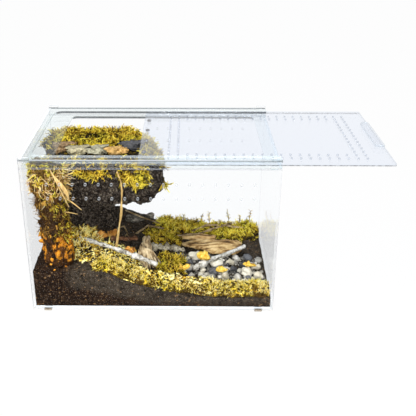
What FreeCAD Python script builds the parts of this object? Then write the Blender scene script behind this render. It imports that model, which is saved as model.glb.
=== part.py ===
import FreeCAD, Part
import math
import os

# A clear acrylic reptile enclosure with a lid that slides in from the right, planted and furnished.
# Millimetres, +Z up. The origin is the centre of the tank's footprint, on the table under the feet.
# Sizes below are counted from the tank's front left lower corner; at() moves them to the origin.
Vec = FreeCAD.Vector

# Tank: five glued sheets
tank_length = 300.0
tank_depth = 200.0
panel_height = 200.0
sheet = 3.0
ear_width = 12.5
ear_height = 3.0
foot_width = 9.5
foot_height = 2.0
foot_inset = 13.4
foot_chamfer = 1.0

# Vents in the front and back panels: two rows
vent_radius = 1.6
vent_pitch = 15.0
vent_columns = 17
vent_rows = 2
vent_row_pitch = 17.8
vent_drop = 30.0
vent_sides = 8

# The two frames that guide the lid, and the tabs that locate the lower one
rail_width = 14.0
rail_end_width = 7.5
rail_corner = 12.0
ledge_left_width = 31.0
ledge_right_width = 14.0
ledge_corner = 8.0
tab_width = 8.0
tab_inset = 5.0
tab_clearance = 0.1

# Sliding lid, drawn open as it stands at rest
lid_length = 294.0
lid_sheet = 3.0
lid_side_play = 0.3
lid_under_play = 0.3
lid_over_play = 0.9
lid_open = 132.0
lid_corner = 1.0
lid_vent_radius = 1.4
lid_vent_pitch = 11.0
lid_vent_columns = 22
lid_vent_rows = 15
lid_vent_rings = 2
lid_vent_margin = 35.0
magnet_radius = 2.5
magnet_depth = 2.0
magnet_inset = 6.0
magnet_pitch = 38.6
magnet_count = 4
magnet_clearance = 0.05
pull_width = 11.0
pull_length = 86.0
pull_height = 3.0
pull_corner = 5.0

# Ground: soil banked up to the left, with moss mats laid on it
seat = 0.3
settle = 0.05
overrun = 1.0
wall_gap = 0.4
drop_share = 0.4
soil_x_shares = (0.0, 0.14, 0.28, 0.34, 0.43, 0.50, 0.61, 0.72, 0.86, 1.0)
soil_z_shares = (0.270, 0.260, 0.262, 0.228, 0.175, 0.132, 0.100, 0.075, 0.066, 0.075)
mat_thickness = 8.0
mat_bevel = 6.0
mat_taper = 9.0
mat_edge_share = 0.4
mat_front_shares = (0.255, 1.0, 0.0, 0.16)
mat_middle_shares = (0.52, 0.63, 0.20, 0.43)
mat_side_shares = (0.45, 0.61, 0.55, 0.745)
mat_back_shares = (0.50, 1.0, 0.765, 1.0)
mound_share = (0.155, 0.365)
mound_radius = 25.0
mound_height = 15.0
mound_ring_shares = ((-0.4, 1.0), (0.0, 1.0), (0.5, 0.84), (0.85, 0.5), (1.0, 0.2))
mound_sides = 14

# Hide: an overhanging ledge of bound peat on a wall in the back left corner. One outline, from its
# lower left round its right side and back, is fitted at each station between a left, right, low and high
# limit, and hollows between the lumps are pressed into it behind its front face.
ledge_outline_shares = ((0.0, 0.02), (0.30, 0.04), (0.58, 0.0), (0.69, 0.08), (0.77, 0.0), (0.867, 0.15),
                        (0.967, 0.37), (1.0, 0.55), (0.976, 0.79), (0.84, 0.96), (0.39, 1.0), (0.0, 0.986),
                        (0.0, 0.66), (0.0, 0.34))
ledge_station_shares = (
    (0.252, 0.20, 0.515, 0.665, 0.895),
    (0.314, 0.135, 0.556, 0.575, 0.940),
    (0.500, 0.02, 0.549, 0.545, 0.958),
    (0.757, 0.02, 0.500, 0.500, 0.952),
    (0.985, 0.02, 0.425, 0.480, 0.860),
)
ledge_hollow = 6.0
ledge_lump_pitch = 46.0
ledge_front_sections = 2
wall_first_section = 5
wall_points = 3
cap_first_section = 2
cap_first_point = 8
cap_last_point = 11
cap_thickness = 5.0
drape_thickness = 5.0
drape_shrink_share = 0.90

# Cork bark log that stands in the front left corner
log_place_share = (0.082, 0.138)
log_radius = 19.0
log_height_shares = (0.22, 0.34, 0.46, 0.57, 0.68, 0.79, 0.90, 0.985)
log_swell_shares = (1.02, 1.04, 0.95, 0.92, 1.00, 1.06, 1.15, 1.06)
log_lean_shares = (0.20, 0.18, 0.20, 0.16, 0.06, -0.02, -0.06, 0.06)
log_groove_share = 0.22
log_grooves = 6
log_twist = 2.5
log_points = 24

# Twigs, stalk and driftwood: places as shares of the inside, thickness in millimetres
rod_sides = 8
twig_left_shares = ((0.158, 0.325, 0.36), (0.33, 0.262, 0.30), (0.43, 0.220, 0.26), (0.515, 0.186, 0.22))
twig_left_radii = (2.0, 2.5, 2.6, 2.9)
twig_right_shares = ((0.672, 0.25, 0.17), (0.75, 0.36, 0.175), (0.83, 0.445, 0.175), (0.915, 0.545, 0.18))
twig_right_radii = (2.9, 2.7, 2.5, 2.2)
stalk_shares = ((0.33, 0.292, 0.28), (0.345, 0.265, 0.42), (0.365, 0.225, 0.60), (0.375, 0.190, 0.78),
                (0.373, 0.170, 0.86), (0.360, 0.150, 0.935))
stalk_radii = (2.0, 1.9, 1.8, 1.8, 1.7, 1.5)
driftwood_shares = ((0.35, 0.81, 0.36), (0.41, 0.85, 0.34), (0.475, 0.90, 0.33))
driftwood_radii = (4.2, 5.2, 5.6)
lichen_branch_shares = ((0.485, 0.500, 0.17), (0.53, 0.515, 0.16), (0.58, 0.525, 0.15), (0.63, 0.515, 0.14))
lichen_branch_radii = (4.6, 3.9, 4.3, 3.7)
root_stick_shares = ((0.30, 0.44, 0.27), (0.36, 0.475, 0.255), (0.41, 0.515, 0.235))
root_stick_radii = (2.4, 2.8, 3.0)
stump_shares = ((0.462, 0.315, 0.12), (0.459, 0.36, 0.165), (0.455, 0.42, 0.215), (0.452, 0.475, 0.26))
stump_radii = (12.0, 11.0, 8.0, 4.5)
branch_long_shares = ((0.67, 0.80, 0.20), (0.745, 0.865, 0.215), (0.83, 0.895, 0.20), (0.925, 0.865, 0.19))
branch_long_radii = (1.6, 1.5, 1.3, 1.0)
branch_short_shares = ((0.60, 0.690, 0.29), (0.69, 0.690, 0.30), (0.77, 0.775, 0.30), (0.865, 0.855, 0.31))
branch_short_radii = (1.3, 1.6, 1.5, 1.1)

# Bark slabs and the lichen stone
slab_thickness = 3.5
slab_low_shares = ((0.615, 0.630), (0.67, 0.620), (0.73, 0.600), (0.805, 0.570), (0.865, 0.575), (0.90, 0.585))
slab_low_widths = (5.0, 16.0, 31.0, 40.0, 31.0, 16.0)
slab_high_shares = ((0.625, 0.705), (0.70, 0.715), (0.78, 0.705))
slab_high_widths = (9.0, 14.0, 8.0)
slab_rise_share = 0.15
slab_arch_shares = (-1.0, -0.6, 0.0, 0.6, 1.0)
stone_share = (0.452, 0.525)
stone_radii = (5.5, 4.2, 3.8)
stone_turn = -8.0
stone_ring_shares = ((-1.0, 0.5), (-0.45, 0.95), (0.3, 0.97), (0.8, 0.68), (1.0, 0.3))
stone_sides = 10

# Pebbles, each with its place as shares, its three half sizes and its turn about the upright
pebble_sets = {
    "pebbles_pale": (
        ((0.685, 0.468), (9.0, 7.0, 6.0), 20.0), ((0.779, 0.376), (9.0, 6.0, 5.5), -25.0),
        ((0.840, 0.412), (8.5, 3.8, 3.8), 15.0), ((0.908, 0.273), (6.5, 6.0, 5.5), 0.0),
        ((0.816, 0.222), (6.5, 5.0, 5.0), 30.0), ((0.962, 0.222), (6.0, 5.0, 5.0), 10.0),
        ((0.712, 0.290), (6.0, 4.5, 4.0), 40.0), ((0.958, 0.360), (6.0, 4.0, 4.0), -15.0),
    ),
    "pebbles_grey": (
        ((0.648, 0.300), (5.5, 4.5, 4.0), 0.0), ((0.737, 0.478), (5.0, 4.2, 4.0), 30.0),
        ((0.868, 0.482), (6.0, 4.2, 4.0), -20.0), ((0.668, 0.205), (5.0, 4.0, 4.0), 60.0),
        ((0.745, 0.205), (5.5, 4.5, 4.0), 10.0), ((0.870, 0.212), (5.0, 4.0, 4.0), -30.0),
        ((0.974, 0.455), (4.5, 4.0, 3.5), 0.0), ((0.812, 0.305), (4.5, 3.5, 3.5), 45.0),
    ),
    "pebbles_black": (
        ((0.764, 0.285), (7.0, 5.0, 4.5), 20.0), ((0.857, 0.322), (6.0, 4.5, 4.5), -30.0),
        ((0.905, 0.372), (7.0, 4.8, 4.5), 15.0), ((0.926, 0.465), (7.0, 5.0, 4.5), -10.0),
        ((0.652, 0.385), (5.0, 4.0, 3.5), 0.0), ((0.705, 0.375), (5.0, 4.0, 4.0), 30.0),
        ((0.917, 0.205), (5.0, 4.0, 3.5), -20.0), ((0.832, 0.372), (4.5, 3.6, 3.5), 10.0),
    ),
}

# Fallen leaves: place as shares, length, turn and tilt
leaf_thickness = 0.7
leaf_rim_shares = ((0.5, 0.0), (0.28, 0.17), (0.0, 0.25), (-0.3, 0.19), (-0.5, 0.0))
leaf_sets = {
    "leaves_yellow": (
        ((0.632, 0.255), 15.0, 35.0, 14.0), ((0.722, 0.330), 18.0, -35.0, 10.0),
        ((0.800, 0.270), 14.0, 12.0, 12.0), ((0.925, 0.300), 15.0, -20.0, 8.0),
    ),
    "leaves_brown": (
        ((0.185, 0.530), 18.0, 30.0, 16.0), ((0.255, 0.470), 16.0, -15.0, 12.0),
        ((0.300, 0.500), 17.0, 60.0, 10.0), ((0.395, 0.350), 15.0, -40.0, 14.0),
    ),
}

# Sizes that follow from those above
in_length = tank_length - 2 * sheet
in_depth = tank_depth - 2 * sheet
slot_height = lid_under_play + lid_sheet + lid_over_play
rail_z = panel_height - sheet
ledge_z = rail_z - slot_height - sheet
in_height = ledge_z - sheet
lid_z = ledge_z + sheet + lid_under_play
lid_depth = in_depth - 2 * lid_side_play
lid_x = sheet + lid_side_play + lid_open
far_x = tank_length - sheet
far_y = tank_depth - sheet


def at(x, y, z):
    return Vec(x - tank_length / 2, y - tank_depth / 2, z + foot_height)


def inside(x_share, y_share, z_share):
    return at(sheet + x_share * in_length, sheet + y_share * in_depth, sheet + z_share * in_height)


def block(x0, x1, y0, y1, z0, z1):
    return Part.makeBox(x1 - x0, y1 - y0, z1 - z0, at(x0, y0, z0))


def facet(points):
    return Part.Face(Part.makePolygon(points + points[:1]))


def prism(points, direction):
    return facet(points).extrude(direction)


def upright_edges(solid):
    return [e for e in solid.Edges if e.BoundBox.XLength + e.BoundBox.YLength < e.BoundBox.ZLength]


def edges_near(solid, places, reach):
    return [e for e in upright_edges(solid)
            if any(math.hypot(e.CenterOfMass.x - p.x, e.CenterOfMass.y - p.y) < reach for p in places)]


def ring(centre, across, along, sides):
    angles = [2 * math.pi * (i + 0.5) / sides for i in range(sides)]
    return [centre + across * math.cos(a) + along * math.sin(a) for a in angles]


def lofted(outlines):
    facets = [facet(outlines[0]), facet(outlines[-1])]
    for a, b in zip(outlines, outlines[1:]):
        for i in range(len(a)):
            facets += [facet([a[i - 1], a[i], b[i]]), facet([a[i - 1], b[i], b[i - 1]])]
    skin = Part.makeShell(facets)
    skin.sewShape()
    return Part.makeSolid(skin)


def drilled(plate, places, radius, direction):
    across, depth = Vec(radius, 0, 0), direction * (sheet + 2 * overrun)
    along = direction.cross(across)
    holes = [prism(ring(p - direction * overrun, across, along, vent_sides), depth) for p in places]
    return plate.cut(Part.makeCompound(holes))


def tab_block(y0, y1, clearance):
    x1 = tank_length - tab_inset
    return block(x1 - tab_width - clearance, x1 + clearance, y0, y1, ledge_z - clearance, ledge_z + sheet + clearance)


def long_panel(y):
    top, ear_top, right = panel_height, panel_height + ear_height, tank_length
    outline = [(0, 0), (right, 0), (right, ear_top), (right - ear_width, ear_top), (right - ear_width, top),
               (ear_width, top), (ear_width, ear_top), (0, ear_top)]
    panel = prism([at(x, y, z) for x, z in outline], Vec(0, sheet, 0))
    first = tank_length / 2 - vent_pitch * (vent_columns - 1) / 2
    places = [at(first + vent_pitch * i, y, top - vent_drop - vent_row_pitch * j)
              for i in range(vent_columns) for j in range(vent_rows)]
    panel = drilled(panel, places, vent_radius, Vec(0, 1, 0))
    return panel.cut(tab_block(y - overrun, y + sheet + overrun, tab_clearance))


def slide_frame():
    plate = block(sheet, tank_length, sheet, far_y, rail_z, panel_height)
    x0, y0, y1 = sheet + rail_end_width, sheet + rail_width, far_y - rail_width
    mouth = block(x0, tank_length + overrun, y0, y1, rail_z - overrun, panel_height + overrun)
    corners = edges_near(mouth, [at(x0, y0, 0), at(x0, y1, 0)], overrun)
    return plate.cut(mouth.makeFillet(rail_corner, corners))


def support_frame():
    plate = block(sheet, tank_length, sheet, far_y, ledge_z, ledge_z + sheet)
    x0, x1 = sheet + ledge_left_width, far_x - ledge_right_width
    window = block(x0, x1, sheet + rail_width, far_y - rail_width, ledge_z - overrun, ledge_z + sheet + overrun)
    plate = plate.cut(window.makeFillet(ledge_corner, upright_edges(window)))
    return plate.fuse([tab_block(0, sheet, 0), tab_block(far_y, tank_depth, 0)]).removeSplitter()


def foot(x, y):
    pad = block(x, x + foot_width, y, y + foot_width, -foot_height, 0)
    return pad.makeChamfer(foot_chamfer, upright_edges(pad))


def ring_place(column, row):
    inset = min(column, row, lid_vent_columns - 1 - column, lid_vent_rows - 1 - row)
    return inset < lid_vent_rings


def magnet_places():
    first = tank_depth / 2 - magnet_pitch * (magnet_count - 1) / 2
    return [at(lid_x + magnet_inset, first + magnet_pitch * i, lid_z + lid_sheet - magnet_depth)
            for i in range(magnet_count)]


def discs(radius, height):
    return Part.makeCompound([Part.makeCylinder(radius, height, p) for p in magnet_places()])


def lid_panel():
    y0 = sheet + lid_side_play
    plate = block(lid_x, lid_x + lid_length, y0, y0 + lid_depth, lid_z, lid_z + lid_sheet)
    plate = plate.makeFillet(lid_corner, upright_edges(plate))
    first = tank_depth / 2 - lid_vent_pitch * (lid_vent_rows - 1) / 2
    places = [at(lid_x + lid_vent_margin + lid_vent_pitch * i, first + lid_vent_pitch * j, lid_z)
              for i in range(lid_vent_columns) for j in range(lid_vent_rows) if ring_place(i, j)]
    plate = drilled(plate, places, lid_vent_radius, Vec(0, 0, 1))
    return plate.cut(discs(magnet_radius + magnet_clearance, magnet_depth + overrun))


def lid_pull():
    x1, middle = lid_x + lid_length, tank_depth / 2
    y0, y1, z0 = middle - pull_length / 2, middle + pull_length / 2, lid_z + lid_sheet
    strip = block(x1 - pull_width, x1, y0, y1, z0, z0 + pull_height)
    inner = edges_near(strip, [at(x1 - pull_width, y0, 0), at(x1 - pull_width, y1, 0)], overrun)
    return strip.makeFillet(pull_corner, inner)


def soil_height(x_share):
    for (a, b), (low, high) in zip(zip(soil_x_shares, soil_x_shares[1:]), zip(soil_z_shares, soil_z_shares[1:])):
        if x_share <= b:
            return sheet + in_height * (low + (high - low) * (x_share - a) / (b - a))
    return sheet + in_height * soil_z_shares[-1]


def soil_block(lift):
    top = [inside(x, 0, z) + Vec(0, wall_gap, lift) for x, z in zip(soil_x_shares, soil_z_shares)]
    top[0].x += wall_gap
    top[-1].x -= wall_gap
    floor = at(0, 0, sheet).z
    outline = [Vec(top[-1].x, top[-1].y, floor), Vec(top[0].x, top[0].y, floor)]
    return prism(outline + top, Vec(0, in_depth - 2 * wall_gap, 0))


def moss_mat(shares):
    x0, x1, y0, y1 = shares
    left, right = sheet + x0 * in_length + wall_gap, sheet + x1 * in_length - wall_gap
    front, back = sheet + y0 * in_depth + wall_gap, sheet + y1 * in_depth - wall_gap
    breaks = [sheet + s * in_length for s in soil_x_shares] + [left + mat_taper, right - mat_taper]
    sections = []
    for x in sorted([left, right] + [x for x in breaks if left < x < right]):
        low = soil_height((x - sheet) / in_length) + seat
        rounding = min(1, (x - left) / mat_taper, (right - x) / mat_taper)
        high = low + mat_thickness * (mat_edge_share + (1 - mat_edge_share) * rounding)
        side = low + (high - low) * mat_edge_share
        outline = [(front, low), (back, low), (back, side), (back - mat_bevel, high), (front + mat_bevel, high),
                   (front, side)]
        sections.append([at(x, y, z) for y, z in outline])
    return lofted(sections)


def mounded(centre, across, along, height, ring_shares, sides):
    return lofted([ring(centre + Vec(0, 0, height * rise), across * swell, along * swell, sides)
                   for rise, swell in ring_shares])


def moss_mound(soil):
    centre = inside(*mound_share, 0)
    centre.z = at(0, 0, soil_height(mound_share[0])).z
    across, along = Vec(mound_radius, 0, 0), Vec(0, mound_radius, 0)
    return mounded(centre, across, along, mound_height, mound_ring_shares, mound_sides).cut(soil)


def station_outline(station):
    y, left, right, low, high = station
    return [inside(left + (right - left) * u, y, low + (high - low) * w) for u, w in ledge_outline_shares]


def hollowed(outline):
    middle, turn = sum(outline, Vec()) * (1 / len(outline)), 2 * math.pi / ledge_lump_pitch
    hollows = []
    for p in outline:
        depth_share = (1 + math.sin(turn * (p.x + p.z)) * math.cos(turn * p.y)) / 2
        hollows.append(p + (middle - p).normalize() * ledge_hollow * depth_share)
    return hollows


def ledge_outlines():
    stations = [station_outline(station) for station in ledge_station_shares]
    sections = stations[:1]
    for a, b in zip(stations, stations[1:]):
        sections += [[(p + q) / 2 for p, q in zip(a, b)], b]
    return sections[:ledge_front_sections] + [hollowed(s) for s in sections[ledge_front_sections:]]


def hide_ledge():
    return lofted(ledge_outlines())


def hide_wall(soil):
    outlines = []
    for outline in ledge_outlines()[wall_first_section:]:
        top = [p - Vec(0, 0, seat) for p in outline[:wall_points]]
        floor = at(0, 0, sheet).z
        outlines.append([Vec(top[0].x, top[0].y, floor)] + top + [Vec(top[-1].x, top[-1].y, floor)])
    return lofted(outlines).cut(soil)


def moss_cap():
    outlines = []
    for outline in ledge_outlines()[cap_first_section:]:
        under = [p + Vec(0, 0, seat) for p in outline[cap_first_point:cap_last_point + 1]]
        thick = [cap_thickness * (mat_edge_share if p in (under[0], under[-1]) else 1) for p in under]
        over = [p + Vec(0, 0, t) for p, t in zip(under, thick)]
        outlines.append(under + over[::-1])
    return lofted(outlines)


def moss_drape():
    face = [p - Vec(0, seat, 0) for p in ledge_outlines()[0]]
    middle = sum(face, Vec()) * (1 / len(face))
    outer = [middle + (p - middle) * drape_shrink_share - Vec(0, drape_thickness, 0) for p in face]
    return lofted([face, outer])


def bark_log(soil):
    rings = []
    for height, swell, lean in zip(log_height_shares, log_swell_shares, log_lean_shares):
        centre = inside(log_place_share[0], log_place_share[1], height) + Vec(lean * log_radius, 0, 0)
        ring = []
        for i in range(log_points):
            angle = 2 * math.pi * i / log_points
            groove_share = log_groove_share * (1 + math.sin(log_grooves * angle + log_twist * height)) / 2
            reach = log_radius * swell * (1 - groove_share)
            ring.append(centre + Vec(reach * math.cos(angle), reach * math.sin(angle), 0))
        rings.append(ring)
    return lofted(rings).cut(soil)


def rod(shares, radii):
    points = [inside(*share) for share in shares]
    outlines = []
    for i, (point, radius) in enumerate(zip(points, radii)):
        along = points[min(i + 1, len(points) - 1)] - points[max(i - 1, 0)]
        across = along.cross(Vec(0, 0, 1)).normalize()
        upward = across.cross(along).normalize()
        outlines.append(ring(point, across * radius, upward * radius, rod_sides))
    return lofted(outlines)


def bark_slab(shares, widths):
    outlines = []
    for (x, y), width in zip(shares, widths):
        middle, rise = inside(x, y, drop_share), slab_rise_share * width
        over = [middle + Vec(0, s * width / 2, rise * (1 - s * s)) for s in slab_arch_shares]
        outlines.append(over + [p - Vec(0, 0, slab_thickness) for p in over[::-1]])
    return lofted(outlines)


def pebble(share, radii, turn, soil):
    direction = FreeCAD.Rotation(Vec(0, 0, 1), turn)
    across, along = direction.multVec(Vec(radii[0], 0, 0)), direction.multVec(Vec(0, radii[1], 0))
    centre = inside(*share, 0)
    centre.z = at(0, 0, soil_height(share[0]) + radii[0]).z
    return lowered(mounded(centre, across, along, radii[2], stone_ring_shares, stone_sides), [soil])


def leaf(share, length, turn, tilt):
    rim = leaf_rim_shares + tuple((x, -y) for x, y in leaf_rim_shares[-2:0:-1])
    blade = prism([Vec(x * length, y * length, 0) for x, y in rim], Vec(0, 0, leaf_thickness))
    blade.rotate(Vec(), Vec(1, 0, 0), tilt)
    blade.rotate(Vec(), Vec(0, 0, 1), turn)
    blade.translate(inside(*share, drop_share))
    return blade


def lowered(shape, supports):
    column = shape.BoundBox
    column.ZMin = 0
    ground = Part.makeCompound([s for s in supports if column.intersect(s.BoundBox)])
    room = shape.distToShape(ground)[0] - seat
    while room > settle:
        shape.translate(Vec(0, 0, -room))
        room = shape.distToShape(ground)[0] - seat
    return shape


def tank_nodes():
    nodes = {
        "base_panel": block(sheet, far_x, sheet, far_y, 0, sheet),
        "front_panel": long_panel(0),
        "back_panel": long_panel(far_y),
        "left_panel": block(0, sheet, sheet, far_y, 0, panel_height),
        "right_panel": block(far_x, tank_length, sheet, far_y, 0, ledge_z),
        "slide_frame": slide_frame(),
        "support_frame": support_frame(),
    }
    for depth, y in (("front", 0), ("back", tank_depth - foot_width)):
        for side, x in (("left", foot_inset), ("right", tank_length - foot_inset - foot_width)):
            nodes[f"foot_{depth}_{side}"] = foot(x, y)
    return nodes


def lid_nodes():
    return {"lid_panel": lid_panel(), "lid_pull": lid_pull(), "lid_magnets": discs(magnet_radius, magnet_depth)}


def planting_nodes():
    soil, bed = soil_block(0), soil_block(seat)
    nodes = {
        "soil": soil,
        "hide_ledge": hide_ledge(),
        "hide_wall": hide_wall(bed),
        "bark_log": bark_log(bed),
        "moss_cap": moss_cap(),
        "moss_drape": moss_drape(),
        "moss_mound": moss_mound(bed),
        "moss_front": moss_mat(mat_front_shares),
        "moss_middle": moss_mat(mat_middle_shares),
        "moss_side": moss_mat(mat_side_shares),
        "moss_back": moss_mat(mat_back_shares),
        "root_stump": rod(stump_shares, stump_radii).cut(bed),
        "lichen_stone": pebble(stone_share, stone_radii, stone_turn, soil),
    }
    for name, stones in pebble_sets.items():
        nodes[name] = Part.makeCompound([pebble(*stone, soil) for stone in stones])
    return nodes


def loose_nodes(ground):
    laid = dict(ground)
    for name, piece in (
        ("lichen_branch", rod(lichen_branch_shares, lichen_branch_radii)),
        ("root_stick", rod(root_stick_shares, root_stick_radii)),
        ("bark_slab_low", bark_slab(slab_low_shares, slab_low_widths)),
        ("bark_slab_high", bark_slab(slab_high_shares, slab_high_widths)),
        ("driftwood", rod(driftwood_shares, driftwood_radii)),
        ("twig_left", rod(twig_left_shares, twig_left_radii)),
        ("twig_right", rod(twig_right_shares, twig_right_radii)),
        ("stalk", rod(stalk_shares, stalk_radii)),
        ("branch_long", rod(branch_long_shares, branch_long_radii)),
        ("branch_short", rod(branch_short_shares, branch_short_radii)),
    ):
        laid[name] = lowered(piece, list(laid.values()))
    for name, leaves in leaf_sets.items():
        blades = []
        for item in leaves:
            blades.append(lowered(leaf(*item), list(laid.values()) + blades))
        laid[name] = Part.makeCompound(blades)
    return {name: piece for name, piece in laid.items() if name not in ground}


os.makedirs("parts", exist_ok=True)
planting = planting_nodes()
for node, shape in {**tank_nodes(), **lid_nodes(), **planting, **loose_nodes(planting)}.items():
    shape.exportStep(f"parts/{node}.step")
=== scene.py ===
import bmesh
import bpy
import math
import random
from mathutils import Matrix, Vector, geometry, noise


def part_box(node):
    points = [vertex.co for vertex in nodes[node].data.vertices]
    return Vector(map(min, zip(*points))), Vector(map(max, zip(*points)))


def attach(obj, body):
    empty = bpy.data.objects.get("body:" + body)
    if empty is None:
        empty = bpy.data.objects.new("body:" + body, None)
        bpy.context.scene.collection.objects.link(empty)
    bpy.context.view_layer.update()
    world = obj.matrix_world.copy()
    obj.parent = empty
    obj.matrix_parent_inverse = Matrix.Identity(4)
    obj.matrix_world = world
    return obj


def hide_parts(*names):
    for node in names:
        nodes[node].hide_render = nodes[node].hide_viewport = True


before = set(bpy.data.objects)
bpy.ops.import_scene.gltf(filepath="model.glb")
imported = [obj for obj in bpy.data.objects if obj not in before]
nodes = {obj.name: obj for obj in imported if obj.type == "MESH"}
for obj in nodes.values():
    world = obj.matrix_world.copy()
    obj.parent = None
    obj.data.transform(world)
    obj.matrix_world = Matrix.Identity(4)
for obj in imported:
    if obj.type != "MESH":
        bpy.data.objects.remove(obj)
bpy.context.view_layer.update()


# Walls and floor of the tank: clear cast acrylic, 3 mm, cut by laser and glued edge to face. The faces
# are polished and a cut edge is slightly frosted. A dark line of painted reflection runs along the top of a
# long wall.
class Shade:
    """A socket of a material's node tree, so that shader maths reads as an expression."""

    def __init__(self, tree, socket=None):
        self.tree, self.socket = tree, socket

    def node(self, kind, settings=None, inputs=None, output=0):
        made = self.tree.nodes.new("ShaderNode" + kind)
        for key, value in (settings or {}).items():
            if key == "stops":
                while len(made.color_ramp.elements) < len(value):
                    made.color_ramp.elements.new(1.0)
                for stop, (place, colour) in zip(made.color_ramp.elements, value):
                    stop.position, stop.color = place, (*colour, 1.0)
            else:
                setattr(made, key, value)
        for key, value in (inputs or {}).items():
            if isinstance(value, Shade):
                self.tree.links.new(value.socket, made.inputs[key])
            elif made.inputs[key].type == "RGBA":
                made.inputs[key].default_value = (*value, 1.0)
            else:
                made.inputs[key].default_value = value
        return Shade(self.tree, made.outputs[output] if made.outputs else None)

    def maths(self, operation, first, second=0.0):
        return self.node("Math", {"operation": operation}, {0: first, 1: second})

    def __add__(self, other):
        return self.maths("ADD", self, other)

    def __radd__(self, other):
        return self.maths("ADD", other, self)

    def __sub__(self, other):
        return self.maths("SUBTRACT", self, other)

    def __mul__(self, other):
        return self.maths("MULTIPLY", self, other)

    def __rmul__(self, other):
        return self.maths("MULTIPLY", other, self)

    def __pow__(self, other):
        return self.maths("POWER", self, other)

    def above(self, level):
        return self.maths("GREATER_THAN", self, level)

    def below(self, level):
        return self.maths("LESS_THAN", self, level)

    def part(self, axis):
        return self.node("SeparateXYZ", inputs={0: self}, output=axis)

    def share(self, low, high):
        return self.node("MapRange", inputs={"Value": self, "From Min": low, "From Max": high})

    def between(self, first, second):
        return self.node("Mix", {"data_type": "RGBA"}, {0: self, 6: first, 7: second}, output=2)

    def ramp(self, *stops):
        return self.node("ValToRGB", {"stops": stops}, {0: self})

    def place(self):
        return self.node("TexCoord", output="Object")

    def tone(self):
        return self.node("Attribute", {"attribute_name": "tone"}, output="Fac")

    def stretched(self, scales):
        return self.node("VectorMath", {"operation": "MULTIPLY"}, {0: self, 1: scales})

    def noise(self, scale, detail=3.0, rough=0.6, place=None):
        return self.node("TexNoise", inputs={
            "Vector": place or self.place(), "Scale": scale, "Detail": detail, "Roughness": rough})

    def bump(self, depth):
        return self.node("Bump", inputs={"Height": self, "Strength": 1.0, "Distance": depth})

    def finish(self, surface):
        self.node("OutputMaterial", inputs={"Surface": surface})


def blank_material(name):
    material = bpy.data.materials.new(name)
    material.use_nodes = True
    material.node_tree.nodes.clear()
    return material, Shade(material.node_tree)


def clear_acrylic(name, flat_axis, tint, gloss, edge_cover, edges, glued_reach=1.0, painted_dark_edges=None, rims=()):
    """Acrylic whose polished faces look along one axis, with its gloss face on and at a grazing angle.

    Cut edges beyond the glued reach vanish in the joint. Painted dark edges are those along the length whose
    depth
    passes a test, up to a height: painted shade in place of the dark reflection in them. A rim is a line
    painted
    along a wall: low, high, strength and colour."""
    material, shade = blank_material(name)
    place, normal = shade.place(), shade.node("TexCoord", output="Normal")
    cut = shade.maths("ABSOLUTE", normal.part(flat_axis)).below(0.7)
    free = shade.maths("ABSOLUTE", place.part("Y")).below(glued_reach)
    frost = shade.noise(260.0)
    sawn, cover = frost.between(*edges), edge_cover
    if painted_dark_edges:
        depth, top, colours, painted_shade_cover = painted_dark_edges
        # Painted shade: edges that face front or back, where the depth test passes, take a dark colour and a
        # thicker cover.
        dark = shade.maths("ABSOLUTE", normal.part("Y")).share(0.3, 0.8) * depth(place.part("Y"))
        sawn = dark.between(sawn, frost.ramp((0.42, colours[0]), (0.60, colours[1])))
        cover = edge_cover + dark * (painted_shade_cover * place.part("Z").below(top) - edge_cover)
    edge = shade.node("BsdfPrincipled", inputs={"Base Color": sawn, "Roughness": 0.25 + 0.2 * frost})
    grazing = shade.node("LayerWeight", inputs={"Blend": 0.5}, output="Facing")
    through = shade.node("BsdfTransparent", inputs={"Color": tint})
    polish = shade.node("BsdfPrincipled", inputs={
        "Base Color": (1.0, 1.0, 1.0), "Metallic": 1.0, "Roughness": 0.02})
    face = shade.node("MixShader", inputs={0: gloss[0] + gloss[1] * grazing ** 5.0, 1: through, 2: polish})
    for low, high, strength, colour in rims:
        line = place.part("Z").above(low) * place.part("Z").below(high)
        painted_line = shade.node("BsdfPrincipled", inputs={
            "Base Color": frost.between(colour, [0.6 * c for c in colour])})
        face = shade.node("MixShader", inputs={0: line * strength, 1: face, 2: painted_line})
    shade.finish(shade.node("MixShader", inputs={0: cut * free * cover, 1: face, 2: edge}))
    return material


def dress(name, material):
    nodes[name].data.materials.clear()
    nodes[name].data.materials.append(material)


water_clear = (0.993, 0.996, 0.998)
pale_edges = ((0.66, 0.72, 0.76), (0.84, 0.88, 0.92))
vent_edges = ((0.46, 0.50, 0.53), (0.72, 0.76, 0.80))
glue_line = 0.0002
inner_reach = -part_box("front_panel")[1][1] - glue_line
wall_foot, wall_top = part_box("front_panel")[0][2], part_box("slide_frame")[1][2]
glue_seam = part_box("support_frame")[0][2]
long_wall = clear_acrylic(
    "acrylic_long_wall", flat_axis=1, tint=water_clear, gloss=(0.001, 0.30), edge_cover=0.52,
    edges=vent_edges,
    # The top rim is a dark line of painted reflection under the wall's arris, the middle one is the glue seam
    # of the lower frame, and the tan one at the foot is a painted shadow line.
    rims=((wall_top - 0.0011, wall_top + 0.0001, 0.75, (0.10, 0.12, 0.13)),
          (glue_seam - 0.0008, glue_seam + 0.0006, 0.30, (0.30, 0.32, 0.36)),
          (wall_foot, wall_foot + 0.0008, 0.35, (0.50, 0.38, 0.24))))
end_wall = clear_acrylic(
    "acrylic_end_wall", flat_axis=0, tint=water_clear, gloss=(0.004, 0.40), edge_cover=0.45, edges=pale_edges,
    glued_reach=inner_reach)
floor_sheet = clear_acrylic(
    "acrylic_base", flat_axis=2, tint=water_clear, gloss=(0.01, 0.3), edge_cover=0.75, edges=pale_edges)
for name in ("front_panel", "back_panel"):
    dress(name, long_wall)
for name in ("left_panel", "right_panel"):
    dress(name, end_wall)
dress("base_panel", floor_sheet)

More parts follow.
